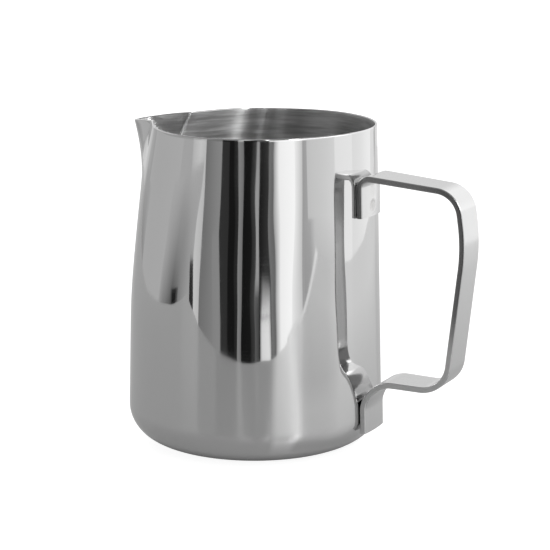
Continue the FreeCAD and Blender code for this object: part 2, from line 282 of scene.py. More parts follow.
def round_rings(radius, height, angle):
    """Round rings from columns of radii and heights; the spout's angle 0 looks along -X."""
    along = np.radians(angle)[None, :]
    return np.stack(np.broadcast_arrays(-radius * np.cos(along), radius * np.sin(along), height),
                    axis=-1)


def flat_rings(radii, base, angle):
    """Rings at the base height, lifted by the dish: a smooth step from nothing to full."""
    radius = radii[:, None]
    share = np.clip((DISH_OUTER - radius) / (DISH_OUTER - DISH_INNER), 0, 1)
    return round_rings(radius, base + DISH_RISE * share ** 2 * (3 - 2 * share), angle)


def corner_rings(inset, angle):
    """A quarter turn of the base corner, its arc smaller by the inset."""
    lift = np.linspace(-math.pi / 2, LEAN, CORNER_RINGS)[1:-1, None]
    bend = CORNER_RADIUS - inset
    return round_rings(CORNER_CENTRE + bend * np.cos(lift), CORNER_RADIUS + bend * np.sin(lift),
                       angle)


print("base has", len(FLAT_RADII), "flat rings and", CORNER_RINGS - 2, "in the corner")

# %% Rings of the wall and the rim
WALL_RINGS = 84
RIM_RINGS = 10


def side_rings(inset, angle, top):
    """Rings up one side of the wall, from the corner to just under the rounded rim."""
    start = CORNER_RADIUS + (CORNER_RADIUS - inset) * math.sin(LEAN)
    share = np.linspace(0, 1, WALL_RINGS)[:, None]
    height = start + share * (top - start)
    return wall_points(angle[None, :], height, inset / math.cos(LEAN))


def rim_rings(angle, top):
    """Half a circle over the sheet's edge: its middle is half a wall in and half a wall down."""
    swing = np.linspace(0, math.pi, RIM_RINGS)[1:-1, None]
    inset = WALL / 2 * (1 - np.cos(swing)) / math.cos(LEAN)
    return wall_points(angle[None, :], top + WALL / 2 * np.sin(swing), inset)


print("wall has", WALL_RINGS, "rings on each side and", RIM_RINGS - 2, "over the rim")

# %% [markdown]
# The columns stand closer together at the beak, where the wall turns most: a sine takes from
# each column's angle and gives it back on the far side of the cup.

# %% Build the cup
CUP_COLUMNS = 336
CROWDING = 0.6


def cup_rings():
    """All rings of the section's walk, and the number of the first one on the inside."""
    turn = np.linspace(-math.pi, math.pi, CUP_COLUMNS, endpoint=False)
    angle = np.degrees(turn - CROWDING * np.sin(turn))
    top = (rim_height(angle) - WALL / 2)[None, :]
    outside = [flat_rings(FLAT_RADII, 0.0, angle), corner_rings(0.0, angle),
               side_rings(0.0, angle, top), rim_rings(angle, top)]
    inside = [side_rings(WALL, angle, top)[::-1], corner_rings(WALL, angle)[::-1],
              flat_rings(FLAT_RADII[::-1], WALL, angle)]
    return np.concatenate(outside + inside), sum(len(block) for block in outside)


walk, first_inner_ring = cup_rings()
cup = closed_stack("drawn_cup", walk, [0, 0, DISH_RISE], [0, 0, WALL + DISH_RISE])

# %% [markdown]
# ## The handle strip
#
# The handle is one flat strip, bent at five places: out at the foot, up at the heel, a long
# gentle bow for the grip, over at the shoulder and down again into the upper tab. A curve with
# a bevel would give the shape but neither the taper nor the welds' marks. So the strip's
# section, a rectangle with rounded long edges, is carried along its middle line, which is
# straight runs joined by tangent arcs, and narrows towards the grip.

# %% The strip's middle line
LINE_CORNERS = np.array([      # foot end, foot, heel, grip, shoulder, tab and tab end: across, up
    (46.309, 7.3), (45.830, 25.7), (75.3, 25.4), (80.8, 75.5), (78.1, 93.3), (43.996, 96.2),
    (44.357, 82.3)]) * MM
BEND_RADII = np.array([10.0, 10.0, 60.0, 9.0, 3.0]) * MM
STEP_ALONG = 0.36 * MM
FINER = 20                     # steps of the sum below in one step along the strip


def middle_line():
    """The line from its heading: the heading is steady on a run and turns evenly in a bend.

    Summing up the headings over the length gives the points, in X and Z.
    """
    runs = np.diff(LINE_CORNERS, axis=0)
    course = np.unwrap(np.arctan2(runs[:, 1], runs[:, 0]))
    turns = np.abs(np.diff(course))
    setback = np.concatenate([[0], BEND_RADII * np.tan(turns / 2), [0]])
    straight = np.linalg.norm(runs, axis=1) - setback[:-1] - setback[1:]
    pieces = np.zeros(2 * len(runs) - 1)
    pieces[0::2], pieces[1::2] = straight, BEND_RADII * turns
    knots = np.concatenate([[0], np.cumsum(pieces)])
    count = int(knots[-1] / STEP_ALONG)
    gone = np.linspace(0, knots[-1], count * FINER + 1)
    heading = np.interp(gone, knots, np.repeat(course, 2))
    way = np.stack([np.cos(heading), np.sin(heading)], axis=-1)
    step = (way[1:] + way[:-1]) / 2 * (gone[1] - gone[0])
    points = LINE_CORNERS[0] + np.concatenate([np.zeros((1, 2)), np.cumsum(step, axis=0)])
    return points[::FINER], way[::FINER], knots[-1]


line, way, length = middle_line()
print("strip is", round(length / MM, 1), "mm long and ends",
      np.round((line[-1] - LINE_CORNERS[-1]) / MM, 3), "mm off its last corner")

# %% [markdown]
# The section is a loop of points. Each point is a share of the flat core plus a share of the
# edge's rounding, so that one loop serves every place along the strip, however wide it is.

# %% The strip's section
STRIP = 2.0 * MM
STRIP_EDGE = 0.5 * MM
SECTION_FACE = 52              # points across each wide face
SECTION_ROUND = 5              # points round each long edge
SECTION_SIDE = 5               # points down each narrow side
FULL_WIDTH, GRIP_WIDTH = 15.9 * MM, 13.4 * MM
TAPER_START, TAPER_END = 33.5 * MM, 82.8 * MM


def section_loop():
    """Round the section in four arrays: thick and wide cores, thick and wide roundings.

    A core is a share of the half section less its rounding, and a rounding is a share of the
    edge radius, so that the sum of the two gives flat faces joined by quarter circles.
    """
    face, flat = np.linspace(-1, 1, SECTION_FACE), np.zeros(SECTION_FACE)
    swing = np.linspace(0, math.pi / 2, SECTION_ROUND + 2)[1:-1]
    one = np.ones(SECTION_ROUND)
    side, level = np.linspace(1, -1, SECTION_SIDE), np.zeros(SECTION_SIDE)
    thick_core = [flat + 1, one, side, -one, flat - 1, -one, -side, one]
    wide_core = [face, one, level + 1, one, -face, -one, level - 1, -one]
    thick_round = [flat + 1, np.cos(swing), level, -np.sin(swing),
                   flat - 1, -np.cos(swing), level, np.sin(swing)]
    wide_round = [flat, np.sin(swing), level + 1, np.cos(swing),
                  flat, -np.sin(swing), level - 1, -np.cos(swing)]
    return [np.concatenate(part) for part in (thick_core, wide_core, thick_round, wide_round)]


def half_width(x):
    """Half the strip's width, falling evenly from the cup's side to the grip."""
    share = np.clip((x - TAPER_START) / (TAPER_END - TAPER_START), 0, 1)
    return (FULL_WIDTH + share * (GRIP_WIDTH - FULL_WIDTH)) / 2


print("section has", len(section_loop()[0]), "points")

# %% [markdown]
# Both ends of the strip are pressed onto a round cup, so their long edges bend in a little.
# The spot welds leave shallow round prints of the electrodes on the upper tab: a disc pressed
# in by less than a tenth of a millimetre with a low rim of displaced metal. The prints are real
# dents in the mesh, and an attribute marks them, so that the finish can tint them.

# %% Bent ends and weld prints
HUG_FOOT, HUG_TAB = 0.7, 1.0   # how closely each end is bent round the cup
HUG_LENGTH, HUG_FADE = 9 * MM, 9 * MM
PRINTS = ((85.9 * MM, 0.07 * MM), (90.9 * MM, 0.03 * MM))      # height and depth
PRINT_RADIUS = 1.9 * MM
PRINT_WALL, TINT_WALL = 6, 8   # powers: how steeply the dent and its tint end
RAISED, RAISED_AT, RAISED_WIDTH = 0.3, 1.2, 0.2                # the low rim, as shares


def hug(gone, x, aside):
    """How far the ends' long edges bend in towards the cup: the bulge of its round wall."""
    foot = HUG_FOOT * np.clip((HUG_LENGTH + HUG_FADE - gone) / HUG_FADE, 0, 1)
    tab = HUG_TAB * np.clip((HUG_LENGTH + HUG_FADE - (length - gone)) / HUG_FADE, 0, 1)
    near = np.clip(foot + tab, 0, 1)
    return near ** 2 * (3 - 2 * near) * (x - np.sqrt(x ** 2 - aside ** 2))


def weld_prints(height, aside):
    """Depth and mask of the prints: a bell with a flat floor, less a thin raised ring."""
    depth, mask = np.zeros_like(aside), np.zeros_like(aside)
    for middle, deep in PRINTS:
        off = np.hypot(height - middle, aside) / PRINT_RADIUS
        ring = np.exp(-((off - RAISED_AT) / RAISED_WIDTH) ** 2)
        depth += deep * (np.exp(-off ** PRINT_WALL) - RAISED * ring)
        mask += deep / PRINTS[0][1] * np.exp(-(off / RAISED_AT) ** TINT_WALL)
    return depth, mask


print("prints are", [round(deep / MM, 2) for middle, deep in PRINTS], "mm deep")

# %% [markdown]
# A second attribute marks the strip's narrow sides, which were sheared and only tumbled smooth.

# %% Build the strip
PRINTED_WITHIN = 46 * MM       # the prints lie on the upper tab's flat outer face only
FLAT_FACE = 0.98               # how squarely a face has to look outwards to be that one
SIDE_MASK = (0.5, 0.9)         # where on the edge's rounding the sheared side begins


def strip_rings():
    """Rings along the strip (ring, column, xyz), with a mask of its sides and of its prints."""
    thick_core, wide_core, thick_round, wide_round = section_loop()
    square = np.stack([way[:, 1], -way[:, 0]], axis=-1)
    thick = thick_core * (STRIP / 2 - STRIP_EDGE) + thick_round * STRIP_EDGE
    half = half_width(line[:, :1])
    aside = wide_core * (half - STRIP_EDGE) + wide_round * STRIP_EDGE
    depth, prints = weld_prints(line[:, 1:] + 0 * aside, aside)
    printed = (thick_round * square[:, :1] > FLAT_FACE) & (line[:, :1] < PRINTED_WITHIN)
    thick = thick - np.sign(thick_round) * depth * printed
    gone = np.linspace(0, length, len(line))[:, None]
    x = line[:, :1] + thick * square[:, :1] - hug(gone, line[:, :1], aside)
    z = line[:, 1:] + thick * square[:, 1:]
    sides = np.interp(np.abs(wide_round), SIDE_MASK, (0, 1)) + 0 * aside
    return np.stack([x, aside, z], axis=-1), sides, prints * printed


def add_mask(piece, name, values):
    """A number for each point of the rings, kept as an attribute; the two end points get 0."""
    mask = piece.data.attributes.new(name, "FLOAT", "POINT")
    mask.data.foreach_set("value", np.append(values.ravel(), [0, 0]).astype(np.float32))


sections, sides, prints = strip_rings()
end_points = [[point[0], 0, point[1]] for point in (line[0], line[-1])]
strip = closed_stack("bent_strip", sections, *end_points)
add_mask(strip, "sheared_side", sides)
add_mask(strip, "weld_print", prints)

# %% [markdown]
# ## Writing a finish as arithmetic
#
# A material is a graph of nodes. Clicking it together is quick, but long to describe in code,
# so a small class wraps a socket and lets Python's own signs add the Math nodes: 1 - mask
# becomes a Subtract node. Every other node comes from one method of a second class.

# %% A socket that can be reckoned with


class Wire:
    """A node's output socket; + - and * on it add Math nodes to its tree."""

    def __init__(self, finish, socket):
        self.finish, self.socket = finish, socket

    def reckon(self, operation, first, second):
        """A Math node on two wires or numbers."""
        return self.finish.node("ShaderNodeMath", {"operation": operation},
                                {0: first, 1: second})

    def __add__(self, other):
        return self.reckon("ADD", self, other)

    def __sub__(self, other):
        return self.reckon("SUBTRACT", self, other)

    def __rsub__(self, other):
        return self.reckon("SUBTRACT", other, self)

    def __mul__(self, other):
        return self.reckon("MULTIPLY", self, other)

    __radd__ = __add__
    __rmul__ = __mul__


# %% A finish that is built node by node


class Finish:
    """A material, or the world, whose nodes are added one by one."""

    def __init__(self, holder):
        holder.use_nodes = True
        self.holder, self.tree = holder, holder.node_tree

    def node(self, kind, settings=None, sockets=None, output=0):
        """Add a node: its settings first, then its sockets' values or links."""
        made = self.tree.nodes.new(kind)
        for name, value in (settings or {}).items():
            setattr(made, name, value)
        self.connect(made, sockets or {})
        return Wire(self, made.outputs[output])

    def connect(self, node, sockets):
        """Give each named or numbered socket of a node its value or link."""
        for name, value in sockets.items():
            if isinstance(value, Wire):
                self.tree.links.new(value.socket, node.inputs[name])
            else:
                node.inputs[name].default_value = value

    def finished(self, sockets):
        """Set sockets of the Principled shader, say how large the graph is, and hand it over."""
        self.connect(self.tree.nodes["Principled BSDF"], sockets)
        print(self.holder.name, "has", len(self.tree.nodes), "nodes")
        return self.holder

    def place(self, stretch=(1, 1, 1)):
        """Object coordinates, multiplied axis by axis to stretch a pattern."""
        at = self.node("ShaderNodeTexCoord", output="Object")
        return self.node("ShaderNodeMapping", None, {"Vector": at, "Scale": stretch})

    def along(self, axis):
        """How far along one axis a point lies."""
        return self.node("ShaderNodeSeparateXYZ", None, {"Vector": self.place()}, output=axis)

    def vector(self, operation, first, second=(0, 0, 0), output="Vector"):
        """Vector Math on one or two vectors; a length or a product comes out as a value."""
        return self.node("ShaderNodeVectorMath", {"operation": operation},
                         {0: first, 1: second}, output)

    def clouds(self, vector, scale, detail=2.0):
        """Soft noise from 0 to 1 around 0.5."""
        return self.node("ShaderNodeTexNoise", None,
                         {"Vector": vector, "Scale": scale, "Detail": detail})

    def between(self, value, low, high):
        """0 below low, 1 above high, an even ramp between."""
        return self.node("ShaderNodeMapRange", {"clamp": True},
                         {"Value": value, "From Min": low, "From Max": high})

    def blend(self, share, first, second):
        """A colour between two colours, or between two wires of colour."""
        return self.node("ShaderNodeMix", {"data_type": "RGBA"},
                         {0: share, 6: first, 7: second}, output=2)

    def bump(self, height, depth, strength=1.0, below=None):
        """Fine relief: a height from 0 to 1 stands for a depth in metres."""
        sockets = {"Height": height, "Distance": depth, "Strength": strength}
        if below is not None:
            sockets["Normal"] = below
        return self.node("ShaderNodeBump", None, sockets)

    def glow(self, level):
        """A grey of this level, to be given off as light."""
        return self.node("ShaderNodeCombineColor", None, {0: level, 1: level, 2: level})

    def seen_by(self, *rays):
        """1 where a ray of one of these kinds arrives, and 0 elsewhere."""
        return sum(self.node("ShaderNodeLightPath", output=f"Is {ray} Ray") for ray in rays)


# %% Two small helpers for finishes


def new_finish(name):
    """A new material with its Principled shader ready."""
    return Finish(bpy.data.materials.new(name))


def grey(level, warm=0.0):
    """A grey, a little warmer where warm is above 0."""
    return (level * (1 + warm), level, level * (1 - warm), 1.0)


print("straw-tinted steel is", [round(part, 3) for part in grey(0.5, 0.04)])

# %% [markdown]
# ## Mirror polish outside
#
# The outside of the cup was ground and then buffed until it reflects like a mirror. What tells
# steel from a perfect mirror is small: the sheet is very slightly wavy from drawing, the buff
# leaves a haze that comes and goes, and the ring that the cup stands on is scuffed. The colour
# stays almost the same everywhere, so the detail goes into roughness and relief.

# %% The polished finish
STEEL = 0.64                   # how much of the light steel sends back
SCUFFED_BELOW = (0.2 * MM, 2.0 * MM)     # all scuffs below the first height, none above both


def polished_steel():
    """Buffed steel: low roughness with haze, hairlines, a faint waviness and a scuffed base."""
    finish = new_finish("mirror_polished_steel")
    haze = finish.clouds(finish.place(), 45.0, 3.0)
    hairlines = finish.clouds(finish.place((60, 60, 5000)), 1.0, 4.0)
    scuffs = finish.clouds(finish.place(), 1400.0, 4.0)
    standing = 1 - finish.between(finish.along("Z"), *SCUFFED_BELOW)
    roughness = (0.03 + 0.05 * finish.between(haze, 0.35, 0.75)
                 + 0.04 * finish.between(hairlines, 0.55, 0.8)
                 + 0.25 * (standing * finish.between(scuffs, 0.4, 0.7)))
    colour = finish.blend(haze, grey(STEEL - 0.01), grey(STEEL + 0.02))
    wavy = finish.bump(finish.clouds(finish.place((1, 1, 0.22)), 90.0, 1.0), 0.26 * MM)
    relief = finish.bump(scuffs, 0.01 * MM, standing * 0.5 + 0.02, wavy)
    return finish.finished({"Base Color": colour, "Metallic": 1.0, "Roughness": roughness,
                            "Normal": relief})


cup.data.materials.append(polished_steel())

# %% [markdown]
# ## Ring brushing inside
#
# Inside, the cup was spun against an abrasive wheel, which leaves fine rings. They scatter
# light up and down but hardly sideways, so a lamp becomes an upright streak. Real grooves as
# geometry would be far too fine. An anisotropic highlight gives the streak, and noise squeezed
# into thin rings gives the single grooves that the eye can still make out. On the wall the
# rings follow the height, and on the floor the distance from the axis.

# %% The brushed finish
FINE_RINGS, COARSE_RINGS = 2600.0, 520.0         # noise steps in a metre of wall
ROUND_STEPS = 2.5                                # noise steps in one radian round the axis
FLOOR_TURN = (2 * MM, 14 * MM)                   # where the floor turns into the wall


def ring_noise(finish, out, walked, rings, detail):
    """Noise that runs slowly round the axis and quickly along the wall."""
    slow = finish.vector("MULTIPLY", out, (ROUND_STEPS, ROUND_STEPS, ROUND_STEPS))
    fast = finish.node("ShaderNodeCombineXYZ", None, {"Z": walked * rings})
    return finish.clouds(finish.vector("ADD", slow, fast), 1.0, detail)


def ring_brushed_steel():
    """Brushed steel: fine and coarse rings in colour, roughness and relief."""
    finish = new_finish("ring_brushed_steel")
    flat = finish.vector("MULTIPLY", finish.place(), (1, 1, 0))
    out, reach = finish.vector("NORMALIZE", flat), finish.vector("LENGTH", flat, output="Value")
    up = finish.along("Z")
    walked = up - reach * (1 - finish.between(up, *FLOOR_TURN))
    fine = ring_noise(finish, out, walked, FINE_RINGS, 3.0)
    coarse = ring_noise(finish, out, walked, COARSE_RINGS, 4.0)
    lines = 0.4 * finish.between(fine, 0.3, 0.7) + 0.6 * finish.between(coarse, 0.36, 0.64)
    colour = finish.blend(lines, grey(STEEL - 0.26), grey(STEEL + 0.08))
    relief = finish.bump(fine, 0.03 * MM, 0.5, finish.bump(coarse, 0.06 * MM, 0.5))
    return finish.finished({"Base Color": colour, "Metallic": 1.0, "Normal": relief,
                            "Roughness": 0.29 + 0.12 * lines,
                            "Anisotropic": 1.0, "Anisotropic Rotation": 0.25})


cup.data.materials.append(ring_brushed_steel())

# %% [markdown]
# Both finishes are on the cup now, and each face picks one by its place in the walk. The faces
# come in rows of one turn round the cup; the last two rows are the fans that close the middle
# of the underside and the middle of the floor.

# %% Put the brushed finish inside
rows = len(cup.data.polygons) // CUP_COLUMNS
row_of_face = np.arange(len(cup.data.polygons)) // CUP_COLUMNS
underside_fan = rows - 2
inside = (row_of_face >= first_inner_ring - 1) & (row_of_face != underside_fan)
cup.data.polygons.foreach_set("material_index", inside.astype(np.int32))
print("faces inside", int(inside.sum()), "outside", int((~inside).sum()))

# %% [markdown]
# ## Three finishes on one strip
#
# The strip's wide faces were polished with a belt, which leaves faint lines along its length.
# Its narrow sides are sheared and tumbled: pale and dull down at the foot, and glossier higher
# up, where a painted shade makes them darker, darkest along the grip. The electrode prints are
# dull too, with a trace of straw colour from the heat. One material holds all three, and the
# masks choose between them.

# %% The strip's finish
# Above the first heights the sheared sides turn glossier and get a painted shade; beyond the second
# distances along X, on the grip, the painted shade is darker.
GLOSS_AND_SHADE_ABOVE = (40 * MM, 53 * MM)
SIDE_SHADE_BEYOND = (64 * MM, 74 * MM)


def strip_steel():
    """Belt polish on the wide faces, tumbled sides with painted shade, heat tint on the prints."""
    finish = new_finish("belt_polished_steel")
    side = finish.node("ShaderNodeAttribute", {"attribute_name": "sheared_side"}, output="Fac")
    pressed = finish.node("ShaderNodeAttribute", {"attribute_name": "weld_print"}, output="Fac")
    # Masks for the sides' painted shade: by height, where they also turn glossier, and further out
    # on the grip.
    gloss_and_shade_above = finish.between(finish.along("Z"), *GLOSS_AND_SHADE_ABOVE)
    shade_beyond = finish.between(finish.along("X"), *SIDE_SHADE_BEYOND)
    belt = finish.clouds(finish.place((40, 4200, 40)), 1.0, 3.0)
    haze = finish.clouds(finish.place(), 70.0, 3.0)
    grain = finish.clouds(finish.place(), 3500.0, 3.0)
    polished = 0.08 + 0.07 * finish.between(belt, 0.35, 0.7) + 0.05 * haze
    dull = side * (0.30 + 0.12 * grain - 0.28 * gloss_and_shade_above) + pressed * (0.10 + 0.10 * grain)
    bright = finish.blend(belt, grey(STEEL - 0.02), grey(STEEL + 0.04))
    tumbled = finish.blend(grain, grey(0.56), grey(0.66))
    # Painted shade: the dark grey of the sheared sides higher up and along the grip.
    painted_shade = finish.blend(grain, grey(0.20), grey(0.29))
    sheared = finish.blend(gloss_and_shade_above, tumbled, finish.blend(shade_beyond, grey(0.36), painted_shade))
    colour = finish.blend(pressed * 0.5, finish.blend(side, bright, sheared), grey(0.52, 0.02))
    lines = finish.bump(belt, 0.01 * MM, 0.25)
    relief = finish.bump(grain, 0.03 * MM, side * 0.5, lines)
    return finish.finished({"Base Color": colour, "Metallic": 1.0, "Roughness": polished + dull,
                            "Normal": relief})


strip.data.materials.append(strip_steel())

# %% [markdown]
# ## The welds
#
# Between strip and cup each weld is a small nugget that melted and froze again. It is hidden in
# the gap, all but its edge, so the measured shape stays as it is and only gets the dull, finely
# pitted skin of cast steel.

# %% The nuggets' finish


def weld_steel():
    """Refrozen steel: dull, pitted, with a little straw and grey."""
    finish = new_finish("refrozen_steel")
    pits = finish.clouds(finish.place(), 2500.0, 4.0)
    colour = finish.blend(pits, grey(0.36, 0.04), grey(0.52, 0.01))
    return finish.finished({"Base Color": colour, "Metallic": 1.0, "Roughness": 0.4 + 0.3 * pits,
                            "Normal": finish.bump(pits, 0.03 * MM, 0.5)})


nugget_skin = weld_steel()
for node in ("upper_welds", "foot_welds"):
    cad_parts[node].data.materials.clear()
    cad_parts[node].data.materials.append(nugget_skin)

# %% [markdown]
# ## Tie the pieces to the measured frame
#
# The jug is one body, and cup and strip ride on it. Each of them is shown in place of the
# measured piece that it stands for. Their boxes are compared here: the strip differs by the
# bend of its ends, and the whole keeps the size of the measured jug.

# %% Ride and replace
for piece, node, slot in ((cup, "body_shell", "polished_steel"),
                          (strip, "handle_strap", "strip_steel")):
    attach(piece, BODY)
    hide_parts(node)
    low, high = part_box(node)
    points = np.array([corner[:] for corner in piece.bound_box])
    print(piece.name, "differs from", node, "by",
          np.round((points.min(0) - np.array(low)) / MM, 2),
          np.round((points.max(0) - np.array(high)) / MM, 2), "mm")

# %% [markdown]
# ## The studio
#
# Polished steel has almost no look of its own, so the studio builds the reflections: pale cloth
# all round, a soft light to the right, black flags beside the camera, and a table that ends
# just in front of the jug, so that the flags reach far down in the metal. An image of a room
# would be simpler, but cloths can be hung one by one. They are pieces of one cylinder round
# the jug, which glow and are not seen by the camera. The light of each point is an attribute,
# so that one finish serves them all.

# %% A finish that glows
LIGHT = "light"                # the attribute that holds it


def glowing_cloth():
    """A finish that reflects nothing and gives off the light that the attribute names."""
    finish = new_finish("glowing_cloth")
    level = finish.node("ShaderNodeAttribute", {"attribute_name": LIGHT}, output="Fac")
    return finish.finished({"Base Color": grey(0.0), "Specular IOR Level": 0.0,
                            "Emission Strength": 1.0, "Emission Color": finish.glow(level)})


cloth_glow = glowing_cloth()

# %% Helpers for the stage
ROOM_RADIUS = 0.9
COLUMN_TURN = 2.0              # degrees between the columns of a cloth


def direction(turn):
    """The level direction at an angle from the viewer's, in degrees, positive to the right."""
    turn = np.radians(turn)[..., None]
    return np.cos(turn) * towards_viewer + np.sin(turn) * viewer_right


def grid_piece(name, points):
    """A sheet from a grid of points (row, column, xyz)."""
    rows, columns = points.shape[:2]
    row, column = np.meshgrid(np.arange(rows - 1), np.arange(columns - 1), indexing="ij")
    first = row * columns + column
    quads = np.stack([first, first + 1, first + columns + 1, first + columns], axis=-1)
    piece = link_mesh(name, points.reshape(-1, 3), [quads.reshape(-1, 4)])
    return piece


def give_light(piece, levels):
    """Keep the light of each point of a stage piece and let it glow."""
    light = piece.data.attributes.new(LIGHT, "FLOAT", "POINT")
    light.data.foreach_set("value", np.ravel(levels).astype(np.float32))
    piece.data.materials.append(cloth_glow)
    piece.visible_camera = False


def hang(name, turns, foot_levels, head_levels, low, high, lean=0.0, radius=ROOM_RADIUS):
    """A glowing piece of cylinder, its light given at some turns for its foot and its head.

    A leaning piece has its head turned on from its foot by an angle.
    """
    fine = np.unique(np.concatenate([turns, np.arange(turns[0], turns[-1], COLUMN_TURN)]))
    foot, head = direction(fine) * radius, direction(fine + lean) * radius
    cloth = grid_piece(name, np.stack([foot + [0, 0, low], head + [0, 0, high]]))
    give_light(cloth, [np.interp(fine, turns, foot_levels), np.interp(fine, turns, head_levels)])


print("to the right of the viewer is", np.round(direction(90.0), 2))

# %% [markdown]
# Seen from above, the outside of the cup mirrors what hangs below the height of its rim, and
# for the most part below the table. So each cloth has two lights down there, one at its left
# end and one at its right, and a single light above. A third band, higher still, shines into
# the cup, where its narrow bright lights become upright streaks.

# %% The cloths, flags and lights
CLOTHS = (     # name, from turn, to turn, light at each of them below the rim, light above
    ("back_left", -180, -152, 0.80, 0.62, 0.80),
    ("seam_left", -152, -140, 0.52, 0.46, 0.55),
    ("wall_left", -140, -84, 0.55, 0.60, 0.45),
    ("fold_left", -84, -68, 0.55, 0.55, 0.45),
    ("cloth_left", -68, -60, 0.65, 0.82, 0.60),
    ("cloth_edge_left", -60, -52, 0.84, 0.72, 0.70),
    ("grey_flag_left", -52, -33, 0.23, 0.36, 0.25),
    ("black_flag_left", -33, -25, 0.045, 0.042, 0.02),
    ("black_flag_fold", -25, -19.5, 0.012, 0.012, 0.02),
    ("black_flag_edge", -19.5, -15.8, 0.025, 0.035, 0.06),
    ("slit_left", -15.8, -11.2, 0.34, 0.24, 0.55),
    ("black_flag_middle", -11.2, -3, 0.010, 0.014, 0.01),
    ("black_flag_crease", -3, 0.6, 0.035, 0.070, 0.03),
    ("slit_middle", 0.6, 3.2, 0.46, 0.46, 0.20),
    ("black_flag_right", 3.2, 12.5, 0.015, 0.05, 0.10),
    ("grey_edge", 12.5, 17, 0.26, 0.18, 1.20),
    ("soft_light_edge", 17, 22, 0.50, 1.25, 1.50),
    ("soft_light", 22, 34.5, 1.30, 1.42, 1.60),
    ("soft_light_fall", 34.5, 42, 1.25, 0.80, 1.70),
    ("grey_fold_right", 42, 48, 0.50, 0.56, 1.35),
    ("cloth_right", 48, 76, 0.80, 0.98, 1.15),
    ("bright_wall_right", 76, 100, 1.15, 1.20, 1.40),
    ("bright_wall_far", 100, 132, 1.08, 1.24, 1.35),
    ("wall_back_right", 132, 145, 1.05, 0.95, 1.30),
    ("seam_right", 145, 151, 0.55, 0.60, 0.70),
    ("back_right", 151, 180, 0.92, 0.80, 0.80),
)
HIGH_LIGHTS = (                # turn and light
    (-180, 0.88), (-90, 0.45), (-50, 0.45), (-42, 0.3), (-34, 0.3), (-30, 0.45), (-22, 0.45),
    (-18, 0.45), (-12, 1.3), (-7, 1.1), (-2, 0.2), (9.5, 0.2), (10, 5.0), (12.5, 5.0), (13, 0.1),
    (31, 0.1), (33.5, 1.0), (34.5, 10.5), (39.5, 10.5), (41.5, 2.4), (65, 2.4), (75, 3.2),
    (95, 2.8), (105, 1.25), (150, 1.25), (165, 0.88), (180, 0.88))
SOFT_EDGE = 0.1                # degrees at each end of a cloth for the step to the next one
BOTTOM, RIM_LEVEL, CLOTH_TOP, TOP = -0.8, 0.125, 0.31, 0.8

stops = np.array([turn for name, start, end, *lights in CLOTHS
                  for turn in (start + SOFT_EDGE, end - SOFT_EDGE)])
stops[0], stops[-1] = -180, 180
below = [light for name, start, end, *lights in CLOTHS for light in lights[:2]]
above = np.repeat([lights[2] for name, start, end, *lights in CLOTHS], 2)
high_turns, high_levels = np.array(HIGH_LIGHTS).T
fading = np.minimum(above, np.interp(stops, high_turns, high_levels))
hang("cloths_below", stops, below, below, BOTTOM, RIM_LEVEL)
hang("cloths_above", stops, above, fading, RIM_LEVEL, CLOTH_TOP)
hang("high_lights", high_turns, high_levels, high_levels, CLOTH_TOP, TOP)
print("hung", len(CLOTHS), "cloths and flags")

# %% [markdown]
# A few small things stand or hang inside the ring of cloths and show as marks in the metal: the
# shade in a seam behind on the left, a stand near by and one further off with its soft shadow,
# a shade on the right, the foot of the grey flag and its skirt, a cover low down over the
# middle slit, and a low gleam to the right of it. The first hangs furthest in front of the
# cloths, and each of the others a little behind the one before.

# %% Small things that the metal mirrors
SMALL_THINGS = (   # name, turns, light at foot, light at head, low end, high end, lean
    ("seam_shade", (-152, -147, -138, -131), (0.40, 0.24, 0.20, 0.30), (0.52, 0.46, 0.48, 0.56),
     -0.120, 0.020, 0.0),
    ("near_stand", (-62.8, -58.9), (0.02, 0.02), (0.03, 0.06), -0.180, -0.040, 0.0),
    ("far_stand", (-84, -81, -77, -74), (0.10, 0.01, 0.01, 0.10), (0.15, 0.02, 0.02, 0.15),
     -0.150, -0.064, 0.0),
    ("far_shadow", (-100, -90, -85, -80, -72, -64), (0.50, 0.15, 0.02, 0.10, 0.34, 0.55),
     (0.57, 0.58, 0.56, 0.56, 0.56, 0.55), -0.105, 0.030, 10.0),
    ("right_shade", (44, 50, 56, 62, 74, 84), (0.40, 0.38, 0.42, 0.36, 0.46, 0.60),
     (0.53, 0.58, 0.82, 0.90, 0.98, 1.05), -0.160, -0.030, 0.0),
    ("grey_flag_skirt", (-38.0, -29.5), (0.34, 0.36), (0.34, 0.36), -0.105, -0.030, -3.5),
    ("grey_flag_foot", (-38.0, -29.5), (0.34, 0.36), (0.34, 0.36), BOTTOM, -0.105, 0.0),
    ("slit_cover", (0.2, 3.6), (0.06, 0.05), (0.16, 0.08), BOTTOM, -0.085, 0.0),
    ("low_gleam", (4.5, 6.0, 10.5, 12.0), (0.4, 1.0, 1.1, 0.5), (0.4, 1.0, 1.1, 0.5),
     BOTTOM, -0.108, 0.0),
    ("low_gleam_head", (4.5, 6.0, 10.5, 12.0), (0.3, 1.0, 1.1, 0.4), (0.05, 0.1, 0.15, 0.1),
     -0.108, -0.082, 0.0),
)
IN_FRONT = 0.01                # how far one hangs in front of the next

for number, (name, turns, foot_levels, head_levels, low, high, lean) in enumerate(SMALL_THINGS):
    hang(name, np.array(turns), foot_levels, head_levels, low, high, lean,
         ROOM_RADIUS - IN_FRONT * (len(SMALL_THINGS) - number))
print("and", len(SMALL_THINGS), "small things in front of them")

# %% [markdown]
# ## The table
#
# The table is pale and a little glossy. To the eye it melts into the white behind, but it keeps
# the jug's faint shadow. To the metal it shows a darker grey with painted light and shade on it:
# lighter to the right by painted light, the soft light's painted gleam across it, a painted shade
# beyond that, and a painted shadow that makes it dark close under the base. The directions of
# gleam and shade are taken from the cup's focus, a little over half its radius in front of its axis.

# %% The table's finish
TABLE_WHITE = 0.92
MIRRORED = 0.24
